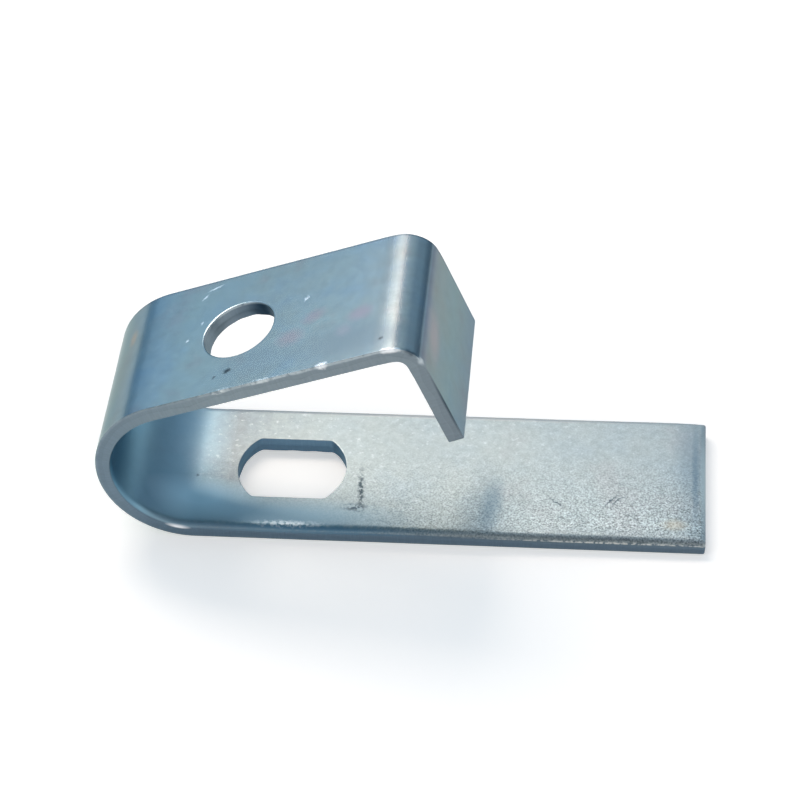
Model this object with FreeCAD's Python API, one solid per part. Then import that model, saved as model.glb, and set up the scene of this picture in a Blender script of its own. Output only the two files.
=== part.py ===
import FreeCAD, Part
import os
from math import cos, radians, sin, sqrt
from FreeCAD import Vector

# Girder conduit clamp: one strip of zinc plated steel, bent round a conduit and hooked over a girder flange.
# Sizes are in millimetres and angles in degrees.
# The origin is on the underside of the long leg, in the middle of the clamp's length and width.
# +X runs along the long leg to its free end, +Y across the strip and +Z up to the upper leg.

# The blanked strip. Its sheared edges are drawn over on the inside face, and nearly sharp on the outside.
strip_width = 25.0
strip_thickness = 2.5
edge_roll_radius = 1.7
edge_roll_depth = 0.35
edge_break = 0.2

# The bends: a round seat for the conduit, legs that open towards the flange, and a lip that bites on it.
# Leg and lip lengths are of the flat between bends.
seat_radius = 10.9
leg_spread = 20.3
long_leg_length = 75.0
upper_leg_length = 36.4
lip_bend_radius = 2.0
lip_bend_turn = 90.0
lip_length = 14.8

# The bolt's ways through: a round hole in the upper leg, and in the long leg a slot with flat sides and
# round ends that lets the bolt swing as the legs close. Each is placed by its distance from the seat bend.
bolt_hole_diameter = 11.0
bolt_hole_from_bend = 12.75
bolt_slot_width = 12.2
bolt_slot_travel = 4.1
bolt_slot_corner = 0.8
bolt_slot_from_bend = 13.2
punch_roll = 0.2

# How far a punch runs past the faces that it cuts
punch_overrun = 1.0

across = Vector(0, 1, 0)
seat_axis = Vector((seat_radius + strip_thickness - long_leg_length) / 2, 0, strip_thickness + seat_radius)


# A unit vector in the side view, turned up from +X
def direction(angle):
    return Vector(cos(radians(angle)), 0, sin(radians(angle)))


# Each flat of the strip has a direction away from the seat bend and one from its outside to its inside face.
long_leg_way = direction(0)
long_leg_inside = direction(90)
upper_leg_way = direction(leg_spread)
upper_leg_inside = direction(leg_spread - 90)
lip_way = direction(leg_spread - lip_bend_turn)
lip_inside = direction(leg_spread - lip_bend_turn - 90)

# Where each flat leaves its bend, on the outside face and on the strip's middle line
lip_axis = seat_axis + upper_leg_way * upper_leg_length + upper_leg_inside * (lip_bend_radius - seat_radius)
long_leg_start = seat_axis - long_leg_inside * (seat_radius + strip_thickness)
upper_leg_start = seat_axis - upper_leg_inside * (seat_radius + strip_thickness)
lip_start = lip_axis - lip_inside * (lip_bend_radius + strip_thickness)


# One sheared edge in outline, from the outside face to the inside face: the broken corner, the wall,
# and the corner that the blanking drew over, whose arc runs smoothly into the inside face
def sheared_edge(corner, out, inside):
    roll_reach = sqrt(2 * edge_roll_radius * edge_roll_depth - edge_roll_depth ** 2)
    break_start = corner - out * edge_break
    wall_start = corner + inside * edge_break
    wall_end = corner + inside * (strip_thickness - edge_roll_depth)
    roll_end = corner + inside * strip_thickness - out * roll_reach
    roll_centre = roll_end - inside * edge_roll_radius
    to_middle = (wall_end + roll_end) / 2 - roll_centre
    roll_middle = roll_centre + to_middle.normalize() * edge_roll_radius
    return [
        Part.makeLine(break_start, wall_start),
        Part.makeLine(wall_start, wall_end),
        Part.Arc(wall_end, roll_middle, roll_end).toShape(),
    ]


# The flat face between two outlines that each run from the strip's outside face to its inside face
def face_between(one, other):
    on_inside = Part.makeLine(one[-1].Vertexes[-1].Point, other[-1].Vertexes[-1].Point)
    on_outside = Part.makeLine(other[0].Vertexes[0].Point, one[0].Vertexes[0].Point)
    return Part.Face(Part.Wire(one + [on_inside] + other[::-1] + [on_outside]))


# The strip's cross section where the long leg meets the seat bend
def strip_section():
    half = across * (strip_width / 2)
    far_edge = sheared_edge(long_leg_start + half, across, long_leg_inside)
    near_edge = sheared_edge(long_leg_start - half, -across, long_leg_inside)
    return face_between(far_edge, near_edge)


# A flat run of the strip that ends free, its end sheared like its sides
def free_run(section, start, way, inside, length):
    end_edge = sheared_edge(start + way * length, way, inside)
    bend_line = Part.makeLine(start, start + inside * strip_thickness)
    side_view = face_between(end_edge, [bend_line])
    side_view.translate(across * (-strip_width / 2))
    run = section.extrude(way * length)
    return run.common(side_view.extrude(across * strip_width))


# The whole bent strip before punching, from the long leg round the seat to the lip
def bent_strip():
    section = strip_section()
    long_leg = free_run(section, long_leg_start, long_leg_way, long_leg_inside, long_leg_length)

    seat_turn = 180 - leg_spread
    seat_bend = section.revolve(seat_axis, across, seat_turn)
    section.rotate(seat_axis, across, seat_turn)

    upper_leg = section.extrude(upper_leg_way * upper_leg_length)
    section.translate(upper_leg_way * upper_leg_length)

    lip_bend = section.revolve(lip_axis, across, lip_bend_turn)
    section.rotate(lip_axis, across, lip_bend_turn)

    lip = free_run(section, lip_start, lip_way, lip_inside, lip_length)
    return long_leg.multiFuse([seat_bend, upper_leg, lip_bend, lip]).Solids[0]


# The edges of a punched opening that lie on one face of the strip, within reach of the opening's centre
def rim_edges(solid, centre, normal, reach):
    slack = 0.001
    samples = 5
    picked = []
    for edge in solid.Edges:
        offsets = [point - centre for point in edge.discretize(samples)]
        flat = all(abs(offset.dot(normal)) < slack for offset in offsets)
        near = all(offset.Length < reach + slack for offset in offsets)
        if flat and near:
            picked.append(edge)
    return picked


# The round hole, punched from the outside face of the upper leg so that its rim is drawn in there
def punch_bolt_hole(strip):
    radius = bolt_hole_diameter / 2
    centre = upper_leg_start + upper_leg_way * bolt_hole_from_bend
    foot = centre - upper_leg_inside * punch_overrun
    punch = Part.makeCylinder(radius, strip_thickness + 2 * punch_overrun, foot, upper_leg_inside)
    strip = strip.cut(punch)
    return strip.makeFillet(punch_roll, rim_edges(strip, centre, upper_leg_inside, radius))


# The slot, punched from the inside face of the long leg: a round punch with two flats, its corners eased
def punch_bolt_slot(strip):
    half_width = bolt_slot_width / 2
    half_length = (bolt_slot_width + bolt_slot_travel) / 2
    half_flat = sqrt(half_length ** 2 - half_width ** 2)
    near_left = Vector(-half_flat, -half_width, 0)
    near_right = Vector(half_flat, -half_width, 0)
    far_right = Vector(half_flat, half_width, 0)
    far_left = Vector(-half_flat, half_width, 0)
    outline = Part.Wire([
        Part.makeLine(near_left, near_right),
        Part.Arc(near_right, Vector(half_length, 0, 0), far_right).toShape(),
        Part.makeLine(far_right, far_left),
        Part.Arc(far_left, Vector(-half_length, 0, 0), near_left).toShape(),
    ])
    punch = Part.Face(outline).extrude(long_leg_inside * (strip_thickness + 2 * punch_overrun))
    upright = [edge for edge in punch.Edges if edge.BoundBox.ZLength > strip_thickness]
    punch = punch.makeFillet(bolt_slot_corner, upright)

    foot = long_leg_start + long_leg_way * bolt_slot_from_bend
    punch.translate(foot - long_leg_inside * punch_overrun)
    strip = strip.cut(punch)
    rim_centre = foot + long_leg_inside * strip_thickness
    return strip.makeFillet(punch_roll, rim_edges(strip, rim_centre, long_leg_inside, half_length))


clamp_strip = punch_bolt_slot(punch_bolt_hole(bent_strip()))

os.makedirs("parts", exist_ok=True)
clamp_strip.exportStep("parts/clamp_strip.step")
print("clamp_strip", clamp_strip.Volume, clamp_strip.isValid(), clamp_strip.optimalBoundingBox(False))
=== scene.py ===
from math import atan2, ceil, cos, hypot, pi, radians, sin, sqrt

import bmesh
import bpy
from mathutils import Matrix, Vector, noise


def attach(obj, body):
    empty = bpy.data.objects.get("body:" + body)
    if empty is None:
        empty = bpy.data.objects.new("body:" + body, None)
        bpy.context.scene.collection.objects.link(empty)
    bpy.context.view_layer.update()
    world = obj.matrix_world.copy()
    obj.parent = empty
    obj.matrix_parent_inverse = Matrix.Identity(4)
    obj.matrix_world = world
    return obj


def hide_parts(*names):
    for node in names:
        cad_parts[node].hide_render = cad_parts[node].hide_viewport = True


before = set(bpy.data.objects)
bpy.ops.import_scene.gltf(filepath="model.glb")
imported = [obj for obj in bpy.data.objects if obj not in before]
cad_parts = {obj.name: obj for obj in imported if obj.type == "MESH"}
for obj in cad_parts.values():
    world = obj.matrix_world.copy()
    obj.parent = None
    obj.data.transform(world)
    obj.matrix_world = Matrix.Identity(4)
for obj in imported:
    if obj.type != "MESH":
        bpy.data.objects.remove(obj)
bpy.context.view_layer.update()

scene = bpy.context.scene
scene.view_settings.view_transform = "Standard"


# sRGB hex to the linear colour that Blender works in
def hexColour(code, alpha=1.0):
    parts = [int(code.lstrip("#")[i:i + 2], 16) / 255 for i in (0, 2, 4)]
    return [c / 12.92 if c <= 0.04045 else ((c + 0.055) / 1.055) ** 2.4 for c in parts] + [alpha]


# adds one node: settings are its properties, an input is a value, a socket or a node to link from,
# stops are the places and colours of a ramp
def addNode(tree, kind, inputs=None, stops=None, **settings):
    node = tree.nodes.new(kind)
    for name, value in settings.items():
        setattr(node, name, value)
    for name, value in (inputs or {}).items():
        if isinstance(name, int):
            socket = node.inputs[name]
        else:
            socket = next(s for s in node.inputs if s.enabled and s.name == name)
        if isinstance(value, bpy.types.Node):
            value = next(s for s in value.outputs if s.enabled)
        if isinstance(value, bpy.types.NodeSocket):
            tree.links.new(value, socket)
        else:
            socket.default_value = value
    if stops:
        elements = node.color_ramp.elements
        elements.remove(elements[1])
        elements[0].position = stops[0][0]
        elements[0].color = hexColour(stops[0][1])
        for place, code in stops[1:]:
            elements.new(place).color = hexColour(code)
    return node


stripShape = {  # millimetres and degrees, the sizes of the CAD model
    "width": 25.0,
    "thickness": 2.5,
    "rollRadius": 1.7,
    "edgeBreak": 0.2,
    "seatRadius": 10.9,
    "legSpread": 20.3,
    "longLeg": 75.0,
    "upperLeg": 36.4,
    "lipRadius": 2.0,
    "lipTurn": 90.0,
    "lip": 14.8,
    "holeDiameter": 11.0,
    "holeFromBend": 12.75,
    "slotWidth": 12.2,
    "slotTravel": 4.1,
    "slotCorner": 0.8,
    "slotFromBend": 13.2,
}
faults = {  # millimetres, what the press left on this one
    "lightRoll": 0.2,
    "heavyRoll": 0.6,  # the shear drew over the near edge of the long leg more than the rest
    "rollFades": 4.0,  # how far round the seat that starts to die out
    "crown": 0.07,  # and bent the sheet down gently beside it
    "endCrown": 0.22,  # more so at the end of the long leg
    "crownReach": 5.0,
    "cornerRadius": 0.35,
    "wave": 0.03,
    "waveLength": 13.0,
    "sag": 0.17,  # how far the lip bend falls inside its drawn round
    "sagReach": 2.2,  # and how far past the bend that runs out
    "thinning": 0.45,  # how much of its thickness the sheet loses there
    "bulge": 0.3,  # how far its edge swells on the inside
    "bulgeReach": 5.0,  # how far in from the edge
    "bulgeSpan": 0.8,  # how far along, as a share of the bend's length
    "unmoved": 0.45,  # the share of the thickness where the edge keeps its place
    "tear": 0.16,  # how far a punched wall breaks out towards its far side
    "tearLumps": 3.1,  # and how lumpily round the opening
    "taper": 0.07,  # how far a sheared wall falls back where it is torn
    "tornDepth": 0.9,  # how deep it is torn, from the outside face
    "tornSwing": 0.5,  # how far the torn line wanders up and down
    "tornLength": 2.7,
    "tornSeed": 4.2,
}
k = stripShape
seatTurn = radians(180 - k["legSpread"])
lipTurn = radians(k["lipTurn"])
seatArc = (k["seatRadius"] + k["thickness"] / 2) * seatTurn
lipArc = (k["lipRadius"] + k["thickness"] / 2) * lipTurn
upperStart = k["longLeg"] + seatArc
lipBendStart = upperStart + k["upperLeg"]
lipStart = lipBendStart + lipArc
stripLength = lipStart + k["lip"]
halfWidth = k["width"] / 2
slotCentre = k["longLeg"] - k["slotFromBend"]
holeCentre = upperStart + k["holeFromBend"]
slack = 1e-6  # millimetres, for comparing places


def eased(value, low, high):
    share = min(max((value - low) / (high - low), 0), 1)
    return share * share * (3 - 2 * share)


def turned(vector, angle):
    x = vector.x * cos(angle) + vector.z * sin(angle)
    return Vector((x, 0, vector.z * cos(angle) - vector.x * sin(angle)))


# where a point of the flat blank lands once bent
# along runs from the free end of the long leg, across from the middle, depth from the outside face
def bentPoint(along, across, depth):
    at = Vector(((k["longLeg"] + k["seatRadius"] + k["thickness"]) / 2, across, 0))
    way = Vector((-1, 0, 0))
    inward = Vector((0, 0, 1))
    left = along
    for length, radius, turn in (
        (k["longLeg"], k["seatRadius"], seatTurn),
        (k["upperLeg"], k["lipRadius"], lipTurn),
        (k["lip"], 0, 0),
    ):
        if left <= length or not turn:
            return at + way * left + inward * depth
        left -= length
        axis = at + way * length + inward * (radius + k["thickness"])
        arc = (radius + k["thickness"] / 2) * turn
        angle = min(left / arc, 1) * turn
        inward = turned(inward, angle)
        way = turned(way, angle)
        at = axis - inward * (radius + k["thickness"])
        if left < arc:
            return at + inward * depth
        left -= arc


# the near edge of the long leg is drawn over heavily, which dies out round the seat
def nearHeavy(along):
    return 1 - eased(along, k["longLeg"] + faults["rollFades"], upperStart)


# smoothly from 1 in the middle to 0 at a share of 1
def hump(share):
    return cos(min(share, 1) * pi / 2) ** 2


# small faults of a real blank: rounded corners, waves in the sheet, the swollen edge at the tight bend
def workedPoint(along, across, depth):
    thick = k["thickness"]
    end = min(along, stripLength - along)
    side = halfWidth - abs(across)
    outward = 1 if across > 0 else -1
    corner = faults["cornerRadius"]
    if end < corner and side < corner:
        pull = max(corner - end, corner - side) / hypot(corner - end, corner - side)
        along += (1 if along < stripLength / 2 else -1) * (corner - end) * (1 - pull)
        across -= outward * (corner - side) * (1 - pull)
    fromBend = abs(along - (lipBendStart + lipArc / 2))
    swell = hump(fromBend / (faults["bulgeSpan"] * lipArc)) * max(0, 1 - side / faults["bulgeReach"]) ** 2
    across += outward * faults["bulge"] * swell * (depth / thick - faults["unmoved"])
    bend = hump(fromBend / (lipArc / 2 + faults["sagReach"]))
    depth += faults["sag"] * bend - faults["thinning"] * bend ** 3 * depth / thick
    waves = faults["wave"] * noise.noise(Vector((along, across, 0)) / faults["waveLength"])
    nearSide = max(0, 1 - (halfWidth + across) / faults["crownReach"]) ** 2 * nearHeavy(along)
    nearEnd = max(0, 1 - along / faults["crownReach"]) ** 2
    droop = max(faults["crown"] * nearSide, faults["endCrown"] * nearEnd)
    return bentPoint(along, across, depth + waves - droop * depth / thick)


# how far the inside face drops towards a sheared edge
def rolledOver(distance, depth):
    reach = sqrt(2 * k["rollRadius"] * depth - depth ** 2)
    if distance >= reach:
        return 0
    return k["rollRadius"] - sqrt(k["rollRadius"] ** 2 - (reach - distance) ** 2)


def edgeDrop(along, across):
    heavy, light = faults["heavyRoll"], faults["lightRoll"]
    return max(
        rolledOver(halfWidth + across, light + (heavy - light) * nearHeavy(along)),
        rolledOver(halfWidth - across, light),
        rolledOver(min(along, stripLength - along), light),
    )


# evenly filled stations between breaks
def stations(breaks, sizes):
    out = [breaks[0]]
    for low, high, size in zip(breaks, breaks[1:], sizes):
        count = max(1, ceil((high - low) / size - slack))
        out += [low + (high - low) * (i + 1) / count for i in range(count)]
    return out


def nearest(places, wanted):
    return min(range(len(places)), key=lambda n: abs(places[n] - wanted))


# distance from the slot's centre to its outline in a direction, grown outwards
def slotReach(angle, grow):
    flat = k["slotWidth"] / 2
    end = (k["slotWidth"] + k["slotTravel"]) / 2
    ease = k["slotCorner"]
    cornerY = flat - ease
    cornerX = sqrt((end - ease) ** 2 - cornerY ** 2)
    x, y = abs(cos(angle)), abs(sin(angle))
    if atan2(y, x) <= atan2(cornerY, cornerX):
        return end + grow
    if (flat + grow) / y * x <= cornerX:
        return (flat + grow) / y
    lean = cornerX * x + cornerY * y
    return lean + sqrt(lean ** 2 - cornerX ** 2 - cornerY ** 2 + (ease + grow) ** 2)


def holeReach(angle, grow):
    return k["holeDiameter"] / 2 + grow


grained = {  # millimetres, where the sheet kept its rolled grain
    "seat": (-4.0, 5.0),  # it dies out here on the inside, measured from the seat bend's start
    "pressedAlong": (42.0, 66.0),  # the tool pressed it smoother beside the slot
    "pressedAcross": (-9.5, -4.0),
    "pressed": 0.75,
    "opens": (-2.0, 0.0),  # it opens up again over the lip bend, measured from that bend's start
    "closes": (0.8, 3.0),
    "opened": 0.45,
}


# how coarse the grain is: full on the inside of the long leg, elsewhere burnished by the bending tools
def coarseness(along, across, depth):
    if depth > k["thickness"] / 2:
        pressed = eased(along, *grained["pressedAlong"]) * (1 - eased(across, *grained["pressedAcross"]))
        kept = 1 - eased(along - k["longLeg"], *grained["seat"])
        return kept * (1 - grained["pressed"] * pressed)
    fromBend = along - lipBendStart
    return grained["opened"] * (eased(fromBend, *grained["opens"]) - eased(fromBend, *grained["closes"]))


sheared, torn = 0.5, 1.0  # the kinds of wall in the finish, where a face is 0
mesher = {  # millimetres
    "cell": 0.6,
    "seatCell": 0.5,
    "fine": 0.2,
    "border": 1.3,  # a strip of fine cells beside each edge
    "patch": 8.4,  # half the width of the polar patch round an opening
    "skirt": (0.04, 0.14, 0.3, 0.5, 0.75),  # rings from an opening to its patch's border, shares of the way
    "rimTurns": (0, 30, 60, 90),  # rings round the drawn-in rim, degrees
    "punchedRings": (0.4, 0.7, 1.05),  # depths of the rings down the clean part of a punched wall
    # below it: depth, kind of wall, share of the tear
    "brokenRings": ((1.35, sheared, 0.1), (1.5, torn, 0.6), (2.0, torn, 0.9), (2.5, torn, 1.0)),
    # down a sheared edge: share of the torn depth, share of the taper
    "tornRings": ((0, 1.0), (0.3, 0.75), (0.7, 0.5), (0.9, 0.4)),
    "shearedRings": (1.4, 1.75),  # depths below the torn line
    "sharpFrom": 32,  # degrees
}
openings = [  # patch is half its length along the strip; the rim is brightened, part wear and part painted highlight, most towards a direction on the blank in degrees
    {"centre": slotCentre, "patch": 10.2, "reach": slotReach, "fromOutside": False, "roll": 0.06,
     "wearAndGlint": 0.0, "glintTowards": 0},
    {"centre": holeCentre, "patch": 8.4, "reach": holeReach, "fromOutside": True, "roll": 0.2,
     "wearAndGlint": 0.9, "glintTowards": 130},
]


def buildStrip():
    points = []  # along, across, depth
    finish = []  # kind of wall, rubbed edge with painted highlight, coarse grain
    faces = []

    def addPoint(along, across, depth, onWall=0.0, onEdge=0.0):
        points.append((along, across, depth))
        finish.append((onWall, onEdge, coarseness(along, across, depth)))
        return len(points) - 1

    cell, fine, border, patch = (mesher[n] for n in ("cell", "fine", "border", "patch"))
    thick = k["thickness"]
    slot, hole = openings
    breaks = [
        0, border, slot["centre"] - slot["patch"], slot["centre"] + slot["patch"], k["longLeg"], upperStart,
        hole["centre"] - hole["patch"], hole["centre"] + hole["patch"], lipBendStart, lipStart,
        stripLength - border, stripLength,
    ]
    sizes = [fine, cell, cell, cell, mesher["seatCell"], cell, cell, cell, fine, cell, fine]
    alongs = stations(breaks, sizes)
    breaks = [-halfWidth, -halfWidth + border, -patch, patch, halfWidth - border, halfWidth]
    acrosses = stations(breaks, [fine, cell, cell, cell, fine])
    rows, cols = len(alongs), len(acrosses)

    def inPatch(i, j):
        if abs((acrosses[j] + acrosses[j + 1]) / 2) > patch:
            return False
        middle = (alongs[i] + alongs[i + 1]) / 2
        return any(abs(middle - o["centre"]) < o["patch"] for o in openings)

    # pulls a point near the edge in, so that the outside face ends where its broken edge starts
    def pulledIn(value, low, high):
        near = min(value - low, high - value)
        shift = k["edgeBreak"] * max(0, 1 - near / border)
        return value + shift if value - low < high - value else value - shift

    # the two faces as grids over the blank
    outside, inside = [], []
    for a in alongs:
        rowOut, rowIn = [], []
        for c in acrosses:
            onEdge = 1.0 if min(a, stripLength - a, halfWidth - abs(c)) < slack else 0.0
            pulled = pulledIn(a, 0, stripLength), pulledIn(c, -halfWidth, halfWidth)
            rowOut.append(addPoint(*pulled, 0, 0, onEdge))
            rowIn.append(addPoint(a, c, thick - edgeDrop(a, c), sheared * onEdge, onEdge))
        outside.append(rowOut)
        inside.append(rowIn)
    for i in range(rows - 1):
        for j in range(cols - 1):
            if not inPatch(i, j):
                for grid in (outside, inside):
                    faces.append((grid[i][j], grid[i + 1][j], grid[i + 1][j + 1], grid[i][j + 1]))

    def loop(i0, i1, j0, j1):
        return ([(i0, j) for j in range(j0, j1)] + [(i, j1) for i in range(i0, i1)]
                + [(i1, j) for j in range(j1, j0, -1)] + [(i, j0) for i in range(i1, i0, -1)])

    def bridge(chain):
        for one, other in zip(chain, chain[1:]):
            for n in range(len(one)):
                m = (n + 1) % len(one)
                faces.append((one[n], one[m], other[m], other[n]))

    # wall round the whole blank, from the outside face in: torn and falling back down to an uneven line,
    # sheared clean below it
    rim = loop(0, rows - 1, 0, cols - 1)

    def wallRing(onWall, share=0.0, taper=0.0, depth=None, onEdge=0.0):
        out = []
        for i, j in rim:
            a, c = alongs[i], acrosses[j]
            spot = Vector((a / faults["tornLength"], c / faults["tornLength"], faults["tornSeed"]))
            line = faults["tornDepth"] + faults["tornSwing"] * noise.noise(spot)
            sunk = k["edgeBreak"] + share * line if depth is None else depth
            a += faults["taper"] * taper * ((i == 0) - (i == rows - 1))
            c += faults["taper"] * taper * ((j == 0) - (j == cols - 1))
            out.append(addPoint(a, c, sunk, onWall, onEdge))
        return out

    chain = [[outside[i][j] for i, j in rim]]
    for share, taper in mesher["tornRings"]:
        chain.append(wallRing(torn, share, taper, onEdge=1.0 if share == 0 else 0.0))
    chain.append(wallRing(sheared, 1.0))
    chain += [wallRing(sheared, depth=depth) for depth in mesher["shearedRings"]]
    chain.append([inside[i][j] for i, j in rim])
    bridge(chain)

    # each opening: the face runs in to the drawn-in rim, down the wall and out again over the other face
    for o in openings:
        roll = o["roll"]
        i0, i1 = (nearest(alongs, o["centre"] + way * o["patch"]) for way in (-1, 1))
        j0, j1 = (nearest(acrosses, way * patch) for way in (-1, 1))
        edge = loop(i0, i1, j0, j1)
        spots = [(alongs[i] - o["centre"], acrosses[j]) for i, j in edge]

        # grow widens the outline, share runs from the outline to the patch border, tear roughens it
        def ring(grow, sink, share=0.0, onWall=0.0, onEdge=0.0, tear=0.0):
            out = []
            for x, y in spots:
                angle = atan2(y, x)
                around = Vector((cos(angle), sin(angle), 0)) * faults["tearLumps"]
                lump = noise.noise(around + Vector((0, 0, o["centre"])))
                reach = o["reach"](angle, grow + tear * faults["tear"] * (0.5 + lump))
                sunk = sink + (faults["tornSwing"] * tear * lump if 0 < tear < 1 else 0)
                px, py = reach * cos(angle), reach * sin(angle)
                px, py = px + (x - px) * share, py + (y - py) * share
                depth = sunk if o["fromOutside"] else thick - sunk
                # the rim is brightened most towards one side: part wear, part painted highlight
                wearAndGlint = onEdge * max(0, cos(angle - radians(o["glintTowards"])))
                out.append(addPoint(o["centre"] + px, py, depth, onWall, wearAndGlint))
            return out

        first, final = (outside, inside) if o["fromOutside"] else (inside, outside)
        chain = [[first[i][j] for i, j in edge]]
        chain += [ring(roll, 0, share) for share in reversed(mesher["skirt"])]
        for turn in map(radians, mesher["rimTurns"]):
            chain.append(ring(roll * (1 - sin(turn)), roll * (1 - cos(turn)), 0, turn / pi, o["wearAndGlint"]))
        chain += [ring(0, depth, onWall=sheared) for depth in mesher["punchedRings"]]
        chain += [ring(0, depth, onWall=kind, tear=tear) for depth, kind, tear in mesher["brokenRings"]]
        chain += [ring(0, thick, share, tear=1.0) for share in mesher["skirt"]]
        chain.append([final[i][j] for i, j in edge])
        bridge(chain)

    # points that no face uses stay out of the mesh
    used = sorted({n for face in faces for n in face})
    place = {n: at for at, n in enumerate(used)}
    mesh = bpy.data.meshes.new("clampStripSkin")
    spots = [workedPoint(*points[n]) / 1000 for n in used]
    mesh.from_pydata(spots, [], [[place[n] for n in face] for face in faces])
    for name, table in (("blank", points), ("finish", finish)):
        layer = mesh.attributes.new(name, "FLOAT_VECTOR", "POINT")
        layer.data.foreach_set("vector", [x for n in used for x in table[n]])
    work = bmesh.new()
    work.from_mesh(mesh)
    bmesh.ops.recalc_face_normals(work, faces=work.faces)
    work.to_mesh(mesh)
    work.free()
    mesh.shade_smooth()
    mesh.set_sharp_from_angle(angle=radians(mesher["sharpFrom"]))
    piece = bpy.data.objects.new("clampStripSkin", mesh)
    scene.collection.objects.link(piece)
    return piece


strip = buildStrip()
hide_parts("clamp_strip")
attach(strip, "root")
print("strip", len(strip.data.vertices), "points", len(strip.data.polygons), "faces")


zinc = {  # sizes in millimetres; the tints are placed along the strip from the free end of the long leg
    # across the lip bend, about 143 to 150, the outside stops paint a bright highlight band and a dark
    # reflection band
    "outside": [
        (0, "#8fa4a8"), (88, "#829f9d"), (98, "#859f97"), (103, "#89969c"), (106.5, "#7d94a1"),
        (114, "#8ba0a6"), (127, "#8f9fa3"), (138, "#98a8ac"), (143.4, "#a2afb3"), (144.1, "#95a2a7"),
        (144.7, "#8e9ba2"), (145.1, "#9eaab0"), (145.6, "#b0b9bb"), (146.1, "#b3b9b9"), (146.7, "#cfc9c4"),
        (147, "#b8bbb7"), (147.4, "#a1aaaa"), (148, "#99aab3"), (148.7, "#a6bfc6"), (149.1, "#7d97a5"),
        (149.5, "#667384"), (150.1, "#828995"), (151, "#8a9295"), (154, "#8a9699"), (158, "#85979c"),
        (165, "#7e8b98"),
    ],
    # inside: painted light and shade, lighter towards the free end and darker towards the seat, and a
    # painted reflection in deep blue in the seat
    "inside": [
        (0, "#bac0be"), (25, "#bac0bd"), (45, "#aeb5b3"), (58, "#abb2b0"), (66, "#a2a8a6"), (71, "#939898"),
        (76, "#94aab4"), (80, "#8fabb8"), (85, "#84aabb"), (92, "#6c9ab3"), (100, "#608ea8"),
        (120, "#90a4aa"),
    ],
    # walls: painted shade, the long leg's wall darker and bluer than the upper leg's and the lip's
    "wall": [
        (0, "#637482"), (72, "#607484"), (90, "#6c7e8b"), (104, "#73838d"), (120, "#839096"),
        (165, "#7b868d"),
    ],
    "punched": [  # walls of the slot, then of the hole; painted shade makes the slot's walls deep blue and the hole's wall darker towards the lip
        (75, "#618097"), (100, "#84919a"), (118, "#818f98"), (124, "#4f6474"),
    ],
    "clouds": [(0.32, "#ecf6ff"), (0.45, "#f8fbfb"), (0.56, "#fbfaf5"), (0.68, "#fff0ec")],
    "cloud": 9.0,
    "mottle": 1.9,
    "blotch": 1.2,
    "grain": 0.27,  # the sheet's grain is nearer 0.1, drawn coarser so that it shows
    "stroke": (1.5, 0.3),  # rolling scratches, drawn coarser too
    "strokeTurn": 35,  # degrees
    "grainHeight": 0.01,
    "fleck": 0.8,
    "score": 0.22,  # the shear scores its wall this finely
    "scoreLength": 2.5,
    "wearAndGlintPatches": 0.6,  # patches where an edge is rubbed bright, part wear and part painted highlight
    "wearAndGlintInside": -0.14,  # less so on the inside
    "ragged": 0.7,  # lumps in the outlines of stains
    "raggedBy": 0.9,
    "smooth": 0.18,  # roughness where the tool burnished the sheet
    "inner": 0.42,  # roughness of the inside face
    "coarse": 0.42,  # roughness where the sheet kept its grain
    "stretched": 0.4,  # and where the tight bend opened it
    "wallRoughness": 0.42,
    "edgeOn": "#c3cfd2",  # the passivation film keeps the plate from turning into a full mirror edge on
    # rubbed edges, part wear and part painted highlight
    "wornAndGlint": "#d3dcde",
    "spark": "#f4f7f6",
    # a dark tint for the rolling hairs and torn walls, and painted shade on the far edge of the outside
    # face
    "darkTintAndShade": "#4a5863",
    "tornDark": 0.1,  # how far a torn wall goes towards the dark tint
    "lineDark": 0.12,  # and the line between torn and sheared
    "lineSpan": 0.2,
    # what each map of values takes and gives: along, across and depth in millimetres, noise from 0 to 1
    "ranges": {
        "wall": {"From Max": 0.45},
        "tornWall": {"From Min": 0.6, "From Max": 0.9},
        "onInside": {"From Min": 1.2, "From Max": 1.3},
        "veil": {"To Min": 0.8, "To Max": 0.3},  # how much the clouds show outside and inside
        "mottle": {"From Min": 0.3, "From Max": 0.7, "To Min": 0.92, "To Max": 1.08},
        "patchy": {"To Min": 0.9, "To Max": 0.4},  # how much the mottle shows outside and inside
        "near": {"From Min": 5.0, "From Max": -10.0, "To Min": 0.16, "To Max": 1.0},
        "endward": {"From Min": 55.0, "From Max": 5.0, "To Min": 0.4, "To Max": 1.0},
        "speck": {"From Min": 0.3, "From Max": 0.7, "To Min": 0.4, "To Max": 1.6},
        "blotch": {"From Min": 0.35, "From Max": 0.65, "To Min": 0.93, "To Max": 1.07},
        "hairs": {"From Min": 0.62, "From Max": 0.72, "To Max": 0.55},
        "fleck": {"From Min": 0.59, "From Max": 0.73, "To Max": 0.32},
        "scores": {"From Min": 0.3, "From Max": 0.7, "To Min": 0.95, "To Max": 1.05},
        "outerWall": {"From Min": 10.5, "From Max": 11.5},
        "bright": {"From Min": 0.26, "From Max": 0.5, "To Max": 0.8},
        "upper": {"From Min": 114.0, "From Max": 130.0, "To Min": 0.15, "To Max": 0.8},
        "offLip": {"From Min": lipStart, "From Max": lipBendStart + 1},
        "onHole": {"From Min": -9.0, "From Max": -8.0},
        "onEnd": {"From Min": 32.0, "From Max": 22.0},
        "farEdge": {"From Min": 11.9, "From Max": 12.2, "To Max": 0.6},
        "gaps": {"From Min": 0.4, "From Max": 0.52},
        "mark": {"From Min": 1.1, "From Max": 0.3},
    },
}
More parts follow.
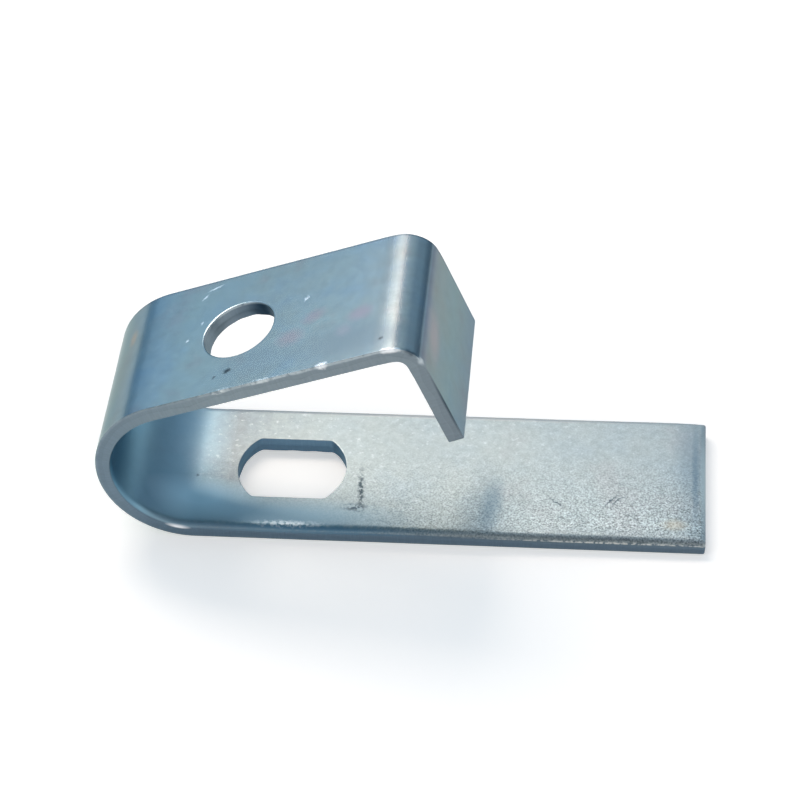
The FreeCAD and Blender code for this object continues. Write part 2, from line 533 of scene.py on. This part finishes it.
# at and size in millimetres on the blank: along, across, depth; turn in degrees
# a clean mark has a smooth outline, a broken one has gaps in it
marks = [
    # upper leg: broad shades, scratches and pits round the hole
    {"at": (139.0, -8.5, 0), "size": (18.0, 10.0, 2), "colour": "#87949a", "amount": 0.7, "clean": True},
    {"at": (125.5, -8.0, 0), "size": (14.0, 8.0, 2), "colour": "#84959d", "amount": 0.5, "clean": True},
    {"at": (145.2, -9.4, 0), "size": (3.6, 7.0, 2), "colour": "#7f8c93", "amount": 0.65, "clean": True},
    {"at": (115.0, 9.2, 0), "size": (1.6, 0.5, 2), "turn": 50, "colour": "#eef2f3", "amount": 0.8},
    {"at": (116.4, 10.7, 0), "size": (2.8, 0.5, 2), "turn": 18, "colour": "#eef2f3", "amount": 0.8},
    {"at": (113.3, 0.3, 0), "size": (0.9, 0.4, 2), "turn": 60, "colour": "#eef2f3", "amount": 0.7},
    {"at": (115.3, 3.5, 0), "size": (0.8, 0.5, 2), "turn": 70, "colour": "#eef2f3", "amount": 0.6},
    {"at": (132.0, 3.0, 0), "size": (1.5, 0.4, 2), "turn": 65, "colour": "#eef2f3", "amount": 0.8},
    {"at": (121.0, -8.5, 0), "size": (1.5, 1.0, 2), "turn": 25, "colour": "#2f3a42", "amount": 0.9},
    {"at": (119.0, -9.2, 0), "size": (0.8, 0.6, 2), "colour": "#4a5862", "amount": 0.7},
    {"at": (144.7, -9.7, 0), "size": (0.9, 0.9, 2), "colour": "#3a444b", "amount": 0.8},
    # its near edge: painted glints and highlights along it, and a dark spot
    {"at": (136.0, -12.2, 0), "size": (2.0, 1.0, 2), "colour": "#ffffff", "amount": 1.0},
    {"at": (145.9, -12.4, 0.1), "size": (2.4, 0.9, 1.2), "colour": "#ffffff", "amount": 1.0},
    {"at": (148.1, -12.3, 0), "size": (2.0, 1.1, 1.2), "colour": "#46545e", "amount": 0.8},
    {"at": (149.7, -12.3, 0.1), "size": (1.2, 0.9, 1.2), "colour": "#c9d2d6", "amount": 0.7},
    {"at": (120.3, -12.3, 0.1), "size": (3.4, 0.7, 1.0), "colour": "#e2e6e4", "amount": 0.8,
     "broken": True},
    {"at": (127.0, -12.3, 0.1), "size": (5.0, 0.7, 1.0), "colour": "#dde3e2", "amount": 0.7,
     "broken": True},
    # rosy and tan stains
    {"at": (152.2, -4.5, 0), "size": (4.5, 11.0, 2), "turn": 8, "colour": "#a79a9c", "amount": 0.7},
    {"at": (103.4, 5.7, 0), "size": (1.8, 4.0, 2), "colour": "#b89f85", "amount": 0.5},
    {"at": (141.0, -3.2, 0), "size": (4.5, 3.4, 2), "turn": 20, "colour": "#a8a1a9", "amount": 0.75},
    {"at": (138.7, -6.0, 0), "size": (3.0, 3.0, 2), "colour": "#a4a3a9", "amount": 0.5},
    {"at": (133.6, -1.3, 0), "size": (4.5, 3.0, 2), "turn": 30, "colour": "#a0999f", "amount": 0.65},
    {"at": (130.3, -4.7, 0), "size": (5.0, 4.0, 2), "colour": "#a0989d", "amount": 0.65},
    # a painted shade along the near edge of the lip
    {"at": (158.6, -12.4, 0), "size": (15.0, 0.6, 0.7), "colour": "#3c4851", "amount": 0.9, "clean": True},
    # long leg: painted shade in blue on the near side beside the slot, and painted dark reflections along
    # the rolled near edge
    {"at": (64.0, -10.0, 2.5), "size": (42.0, 8.0, 2), "colour": "#98b3bf", "amount": 0.8},
    {"at": (57.0, -12.1, 2.5), "size": (46.0, 1.8, 2), "colour": "#53859f", "amount": 0.8},
    {"at": (14.0, -11.3, 2.5), "size": (50.0, 2.8, 2), "colour": "#8d979a", "amount": 0.35},
    {"at": (18.0, -12.3, 2.2), "size": (58.0, 1.5, 2), "colour": "#5d6a6e", "amount": 0.6, "clean": True},
    # painted light: a pale patch where the long leg runs into the seat
    {"at": (75.0, -6.7, 2.5), "size": (18.0, 8.4, 2), "colour": "#b4cfd9", "amount": 0.9, "clean": True},
    # painted light fallen through the hole onto the near side
    {"at": (61.2, -11.4, 2.5), "size": (11.5, 1.3, 2), "colour": "#eef4f5", "amount": 0.9, "broken": True},
    # painted glints on the ridge of the rolled edge and along it
    {"at": (77.6, -12.5, 1.9), "size": (4.0, 0.8, 0.7), "colour": "#ffffff", "amount": 1.0, "clean": True},
    {"at": (13.0, -12.5, 1.9), "size": (46.0, 0.4, 0.45), "colour": "#eeede2", "amount": 0.6,
     "broken": True},
    # tool marks, scratches and stains
    {"at": (51.0, -4.0, 2.5), "size": (1.1, 11.0, 2), "turn": -5, "colour": "#48545a", "amount": 0.95,
     "broken": True},
    {"at": (51.7, -7.7, 2.5), "size": (4.4, 1.8, 2), "colour": "#4f5b62", "amount": 0.9, "broken": True},
    # painted shade where the lip hides the light
    {"at": (31.4, -6.0, 2.5), "size": (3.6, 12.0, 2), "turn": 6, "colour": "#7b929d", "amount": 0.5},
    {"at": (75.9, -2.2, 2.5), "size": (0.8, 0.7, 2), "colour": "#3d4c58", "amount": 0.8},
    {"at": (21.9, -5.2, 2.5), "size": (3.2, 0.35, 2), "turn": 38, "colour": "#4b5760", "amount": 0.9},
    {"at": (14.0, -4.6, 2.5), "size": (4.2, 0.35, 2), "turn": -50, "colour": "#4b5760", "amount": 0.8},
    {"at": (12.8, -4.3, 2.5), "size": (3.6, 0.3, 2), "turn": -42, "colour": "#56626a", "amount": 0.8},
    {"at": (4.5, -9.0, 2.5), "size": (4.5, 2.6, 2), "colour": "#cfc1a8", "amount": 0.5},
    # its end: painted shade towards it and a painted highlight along its edge; its far edge: a painted pale
    # line
    {"at": (2.4, 5.0, 2.5), "size": (5.5, 18.0, 2), "colour": "#92a2ac", "amount": 0.25},
    {"at": (1.5, 1.0, 2.5), "size": (1.3, 22.0, 2), "colour": "#7f929c", "amount": 0.6},
    {"at": (0.0, 0.0, 2.2), "size": (1.7, 27.0, 1.6), "colour": "#f4f8ee", "amount": 1.0, "clean": True},
    {"at": (37.0, 12.3, 2.5), "size": (90.0, 1.5, 2), "colour": "#d9cfc6", "amount": 0.9, "clean": True},
]


# bright zinc plate with a blue passivation on bent mild steel: a satin mirror with faint blue, green and
# rosy clouds, a sparkling grain on the inside of the long leg, and greyer, duller walls where sheared
# its tints and marks also carry painted highlights, reflections and shade
def brightZinc():
    material = bpy.data.materials.new("brightZincPassivated")
    material.use_nodes = True
    tree = material.node_tree
    tree.nodes.clear()
    ranges = zinc["ranges"]

    def add(kind, inputs=None, stops=None, **settings):
        return addNode(tree, "ShaderNode" + kind, inputs, stops, **settings)

    blank = add("Attribute", attribute_name="blank").outputs["Vector"]
    along, across, depth = add("SeparateXYZ", {"Vector": blank}).outputs
    finish = add("Attribute", attribute_name="finish").outputs["Vector"]
    cut, edge, coarse = add("SeparateXYZ", {"Vector": finish}).outputs
    wall = add("MapRange", {"Value": cut, **ranges["wall"]})
    tornWall = add("MapRange", {"Value": cut, **ranges["tornWall"]})
    onInside = add("MapRange", {"Value": depth, **ranges["onInside"]})

    # tint of the film, first along the strip, then in clouds and mottle
    share = add("Math", {0: along, 1: stripLength}, operation="DIVIDE")
    bands = {}
    for name in ("outside", "inside", "wall", "punched"):
        stops = [(place / stripLength, code) for place, code in zinc[name]]
        bands[name] = add("ValToRGB", {"Fac": share}, stops)
    face = add("Mix", {"Factor": onInside, "A": bands["outside"], "B": bands["inside"]}, data_type="RGBA")
    clouds = add("TexNoise", {
        "Vector": blank, "Scale": 1 / zinc["cloud"], "Detail": 3.0, "Roughness": 0.6})
    clouds = add("ValToRGB", {"Fac": clouds}, zinc["clouds"])
    veil = add("MapRange", {"Value": onInside, **ranges["veil"]})
    face = add("Mix", {"Factor": veil, "A": face, "B": clouds}, data_type="RGBA", blend_type="MULTIPLY")
    mottle = add("TexNoise", {
        "Vector": blank, "Scale": 1 / zinc["mottle"], "Detail": 5.0, "Roughness": 0.7})
    mottle = add("MapRange", {"Value": mottle, **ranges["mottle"]})
    patchy = add("MapRange", {"Value": onInside, **ranges["patchy"]})
    face = add("Mix", {"Factor": patchy, "A": face, "B": mottle}, data_type="RGBA", blend_type="MULTIPLY")

    # grain: light and dark crystals, stronger towards the near edge and the free end, blotches,
    # dark hairs left by the rolling, and bright flecks where a crystal lies flat
    near = add("MapRange", {"Value": across, **ranges["near"]})
    endward = add("MapRange", {"Value": along, **ranges["endward"]})
    grainy = add("Math", {0: coarse, 1: near}, operation="MULTIPLY")
    grainy = add("Math", {0: grainy, 1: endward}, operation="MULTIPLY")
    grain = add("TexNoise", {"Vector": blank, "Scale": 1 / zinc["grain"], "Detail": 1.0})
    speck = add("MapRange", {"Value": grain, **ranges["speck"]})
    face = add("Mix", {"Factor": grainy, "A": face, "B": speck}, data_type="RGBA", blend_type="MULTIPLY")
    blotch = add("TexNoise", {
        "Vector": blank, "Scale": 1 / zinc["blotch"], "Detail": 3.0, "Roughness": 0.6})
    blotch = add("MapRange", {"Value": blotch, **ranges["blotch"]})
    face = add("Mix", {"Factor": coarse, "A": face, "B": blotch}, data_type="RGBA", blend_type="MULTIPLY")
    hairs = add("Mapping", {
        "Vector": blank,
        "Rotation": (0, 0, radians(zinc["strokeTurn"])),
        "Scale": (*zinc["stroke"], 1.0),
    }, vector_type="TEXTURE")
    hairs = add("TexNoise", {"Vector": hairs, "Scale": 1.0, "Detail": 2.0, "Distortion": 0.6})
    hairs = add("MapRange", {"Value": hairs, **ranges["hairs"]})
    hairs = add("Math", {0: hairs, 1: grainy}, operation="MULTIPLY")
    face = add("Mix", {"Factor": hairs, "A": face, "B": hexColour(zinc["darkTintAndShade"])}, data_type="RGBA")
    fleck = add("TexNoise", {
        "Vector": blank, "Scale": 1 / zinc["fleck"], "Detail": 3.0, "Roughness": 0.65})
    fleck = add("MapRange", {"Value": fleck, **ranges["fleck"]})
    fleck = add("Math", {0: fleck, 1: coarse}, operation="MULTIPLY")
    face = add("Mix", {"Factor": fleck, "A": face, "B": hexColour(zinc["spark"])}, data_type="RGBA")

    # walls: scored from face to face, darker where torn and along the line between
    lanes = add("Mapping", {
        "Vector": blank, "Scale": [1 / zinc[n] for n in ("score", "score", "scoreLength")]})
    scores = add("TexNoise", {"Vector": lanes, "Scale": 1.0, "Detail": 2.0})
    shade = add("MapRange", {"Value": scores, **ranges["scores"]})
    offset = add("Math", {0: across}, operation="ABSOLUTE")
    outerWall = add("MapRange", {"Value": offset, **ranges["outerWall"]})
    side = add("Mix", {"Factor": outerWall, "A": bands["punched"], "B": bands["wall"]}, data_type="RGBA")
    side = add("Mix", {"Factor": 1.0, "A": side, "B": shade}, data_type="RGBA", blend_type="MULTIPLY")
    line = add("Math", {0: cut, 1: (sheared + torn) / 2, 2: zinc["lineSpan"]}, operation="COMPARE")
    line = add("Math", {0: line, 1: edge}, operation="SUBTRACT", use_clamp=True)
    dark = add("Math", {0: tornWall, 1: zinc["tornDark"]}, operation="MULTIPLY")
    dark = add("Math", {0: line, 1: zinc["lineDark"], 2: dark}, operation="MULTIPLY_ADD")
    side = add("Mix", {"Factor": dark, "A": side, "B": hexColour(zinc["darkTintAndShade"])}, data_type="RGBA")
    colour = add("Mix", {"Factor": wall, "A": face, "B": side}, data_type="RGBA")

    # edges rubbed bright in places, part wear and part painted highlight; a painted shade darkens the far
    # edge of the outside face
    wearAndGlintPatches = add("TexNoise", {"Vector": blank, "Scale": 1 / zinc["wearAndGlintPatches"], "Detail": 3.0})
    bright = add("Math", {0: onInside, 1: zinc["wearAndGlintInside"], 2: wearAndGlintPatches}, operation="MULTIPLY_ADD")
    bright = add("MapRange", {"Value": bright, **ranges["bright"]})
    upper = add("MapRange", {"Value": along, **ranges["upper"]})
    offLip = add("MapRange", {"Value": along, **ranges["offLip"]})
    onHole = add("MapRange", {"Value": across, **ranges["onHole"]})
    upper = add("Math", {0: upper, 1: offLip}, operation="MULTIPLY")
    upper = add("Math", {0: upper, 1: onHole}, operation="MAXIMUM")
    onEnd = add("MapRange", {"Value": along, **ranges["onEnd"]})
    where = add("Mix", {"Factor": onInside, "A": upper, "B": onEnd}, data_type="FLOAT")
    bright = add("Math", {0: bright, 1: where}, operation="MULTIPLY")
    bright = add("Math", {0: bright, 1: edge}, operation="MULTIPLY")
    colour = add("Mix", {"Factor": bright, "A": colour, "B": hexColour(zinc["wornAndGlint"])}, data_type="RGBA")
    farEdge = add("MapRange", {"Value": across, **ranges["farEdge"]})
    farEdge = add("Mix", {"Factor": onInside, "A": farEdge, "B": 0.0}, data_type="FLOAT")
    colour = add("Mix", {"Factor": farEdge, "A": colour, "B": hexColour(zinc["darkTintAndShade"])}, data_type="RGBA")

    # single stains, scratches and pits, and painted glints, light and shade, most with ragged outlines
    swing = zinc["raggedBy"]
    ragged = add("TexNoise", {"Vector": blank, "Scale": 1 / zinc["ragged"], "Detail": 2.0}).outputs["Color"]
    ragged = add("VectorMath", {0: ragged, 1: (0.5, 0.5, 0.5)}, operation="SUBTRACT")
    ragged = add("VectorMath", {0: ragged, 1: (swing, swing, 0), 2: blank}, operation="MULTIPLY_ADD")
    gaps = add("MapRange", {"Value": wearAndGlintPatches, **ranges["gaps"]})
    for mark in marks:
        spot = add("Mapping", {
            "Vector": blank if mark.get("clean") else ragged,
            "Location": mark["at"],
            "Rotation": (0, 0, radians(mark.get("turn", 0))),
            "Scale": [length / 2 for length in mark["size"]],
        }, vector_type="TEXTURE")
        away = add("VectorMath", {0: spot}, operation="LENGTH")
        amount = add("MapRange", {"Value": away, "To Max": mark["amount"], **ranges["mark"]})
        if mark.get("broken"):
            amount = add("Math", {0: amount, 1: gaps}, operation="MULTIPLY")
        tint = hexColour(mark["colour"])
        colour = add("Mix", {"Factor": amount, "A": colour, "B": tint}, data_type="RGBA")

    height = add("Mix", {"Factor": wall, "A": grain, "B": scores}, data_type="FLOAT")
    bump = add("Bump", {"Height": height, "Strength": grainy, "Distance": zinc["grainHeight"] / 1000})
    inner = add("Mix", {"Factor": coarse, "A": zinc["inner"], "B": zinc["coarse"]}, data_type="FLOAT")
    outer = add("Mix", {"Factor": coarse, "A": zinc["smooth"], "B": zinc["stretched"]}, data_type="FLOAT")
    rough = add("Mix", {"Factor": onInside, "A": outer, "B": inner}, data_type="FLOAT")
    rough = add("Mix", {"Factor": wall, "A": rough, "B": zinc["wallRoughness"]}, data_type="FLOAT")
    shader = add("BsdfPrincipled", {
        "Base Color": colour,
        "Metallic": 1.0,
        "Roughness": rough,
        "Specular Tint": hexColour(zinc["edgeOn"]),
        "Normal": bump,
    })
    add("OutputMaterial", {"Surface": shader})
    return material


strip.data.materials.append(brightZinc())
print("zinc done")


stage = {  # metres
    "size": 6.0,
    "below": 0.00005,  # clear of the clamp's underside
    "colour": "#f4efe9",
    "roughness": 0.9,
    "glow": 0.4,  # lifts the pale floor to white where the camera or a reflection sees it
    "glowColour": "#fffcf9",
}


def buildFloor():
    mesh = bpy.data.meshes.new("floor")
    h = stage["size"]
    mesh.from_pydata([(-h, -h, 0), (h, -h, 0), (h, h, 0), (-h, h, 0)], [], [(0, 1, 2, 3)])
    floor = bpy.data.objects.new("floor", mesh)
    floor.location.z = -stage["below"]
    scene.collection.objects.link(floor)
    material = bpy.data.materials.new("paintedFloor")
    material.use_nodes = True
    tree = material.node_tree
    tree.nodes.clear()
    ray = addNode(tree, "ShaderNodeLightPath").outputs
    seen = ray["Is Camera Ray"]
    for kind in ("Is Glossy Ray", "Is Transmission Ray"):
        seen = addNode(tree, "ShaderNodeMath", {0: seen, 1: ray[kind]}, operation="MAXIMUM")
    glow = addNode(tree, "ShaderNodeMath", {0: seen, 1: stage["glow"]}, operation="MULTIPLY")
    shader = addNode(tree, "ShaderNodeBsdfPrincipled", {
        "Base Color": hexColour(stage["colour"]),
        "Roughness": stage["roughness"],
        "Emission Color": hexColour(stage["glowColour"]),
        "Emission Strength": glow,
    })
    addNode(tree, "ShaderNodeOutputMaterial", {"Surface": shader})
    mesh.materials.append(material)


buildFloor()
print("floor done")


lights = {
    "room": "#7c8999",
    # what else shows in the room: the way to it, and how near to that way it starts and is full,
    # 1 being straight on
    "tones": [
        {"colour": "#accbe4", "way": (-0.57, 0.75, 0.34), "start": 0.2, "full": 0.65},  # sky, back left
        {"colour": "#e9ecf0", "way": (0.2, -0.95, 0.24), "start": 0.6, "full": 0.85},  # pale wall, front
    ],
    # at and size in metres, roll in degrees; level is the brightness of the panel, where 1 is white
    "panels": {
        "window": {
            "at": (-0.365, 0.53, 0.765), "size": (0.6, 0.32), "roll": 42, "level": 7.2,
            "colour": "#fff1e4"},
        "paleSky": {
            "at": (-0.75, 0.72, 0.4), "size": (0.55, 0.4), "roll": 0, "level": 0.35, "colour": "#f3f6ff"},
        "fillLeft": {
            "at": (-0.85, -0.5, 0.6), "size": (0.7, 0.5), "roll": 0, "level": 1.2, "colour": "#ffffff"},
        "fillRight": {
            "at": (1.05, -0.2, 0.47), "size": (0.7, 0.5), "roll": 0, "level": 1.2, "colour": "#ffffff"},
    },
    "aim": (0, 0, 0.015),
}


def hangPanel(name, spec):
    lamp = bpy.data.lights.new(name, "AREA")
    lamp.shape = "RECTANGLE"
    lamp.size, lamp.size_y = spec["size"]
    lamp.energy = spec["level"] * pi * spec["size"][0] * spec["size"][1]
    lamp.color = hexColour(spec["colour"])[:3]
    holder = bpy.data.objects.new(name, lamp)
    holder.location = spec["at"]
    facing = (Vector(lights["aim"]) - Vector(spec["at"])).to_track_quat("-Z", "Y").to_matrix()
    holder.rotation_euler = (facing @ Matrix.Rotation(radians(-spec["roll"]), 3, "Z")).to_euler()
    scene.collection.objects.link(holder)


def softRoom():
    world = bpy.data.worlds.new("softRoom")
    scene.world = world
    world.use_nodes = True
    tree = world.node_tree
    tree.nodes.clear()
    way = addNode(tree, "ShaderNodeTexCoord").outputs["Generated"]
    shade = hexColour(lights["room"])
    for tone in lights["tones"]:
        nearness = addNode(tree, "ShaderNodeVectorMath", {0: way, 1: tone["way"]}, operation="DOT_PRODUCT")
        amount = addNode(tree, "ShaderNodeMapRange", {
            "Value": nearness, "From Min": tone["start"], "From Max": tone["full"]})
        shade = addNode(tree, "ShaderNodeMix", {
            "Factor": amount, "A": shade, "B": hexColour(tone["colour"])}, data_type="RGBA")
    room = addNode(tree, "ShaderNodeBackground", {"Color": shade})
    addNode(tree, "ShaderNodeOutputWorld", {"Surface": room})


softRoom()
for name, spec in lights["panels"].items():
    hangPanel(name, spec)
print("lights done")


view = {
    "azimuth": 6.968,
    "elevation": 43.623,
    "roll": -3.019,
    "distance": 0.38324,
    "lens": 117.09,
    "sensor": 36,
    "clipStart": 0.01,
    "aim": (-0.0011, 0.00264, 0.01485),
}


def buildCamera():
    az, el, roll = (radians(view[n]) for n in ("azimuth", "elevation", "roll"))
    back = Vector((sin(az) * cos(el), -cos(az) * cos(el), sin(el)))
    right = Vector((0, 0, 1)).cross(back).normalized()
    up = back.cross(right)
    tiltRight = right * cos(roll) + up * sin(roll)
    tiltUp = up * cos(roll) - right * sin(roll)
    camera = bpy.data.objects.new("camera", bpy.data.cameras.new("camera"))
    camera.data.lens = view["lens"]
    camera.data.sensor_width = view["sensor"]
    camera.data.clip_start = view["clipStart"]
    turn = Matrix((tiltRight, tiltUp, back)).transposed().to_4x4()
    camera.matrix_world = Matrix.Translation(Vector(view["aim"]) + back * view["distance"]) @ turn
    scene.collection.objects.link(camera)
    scene.camera = camera


buildCamera()
print("camera done")
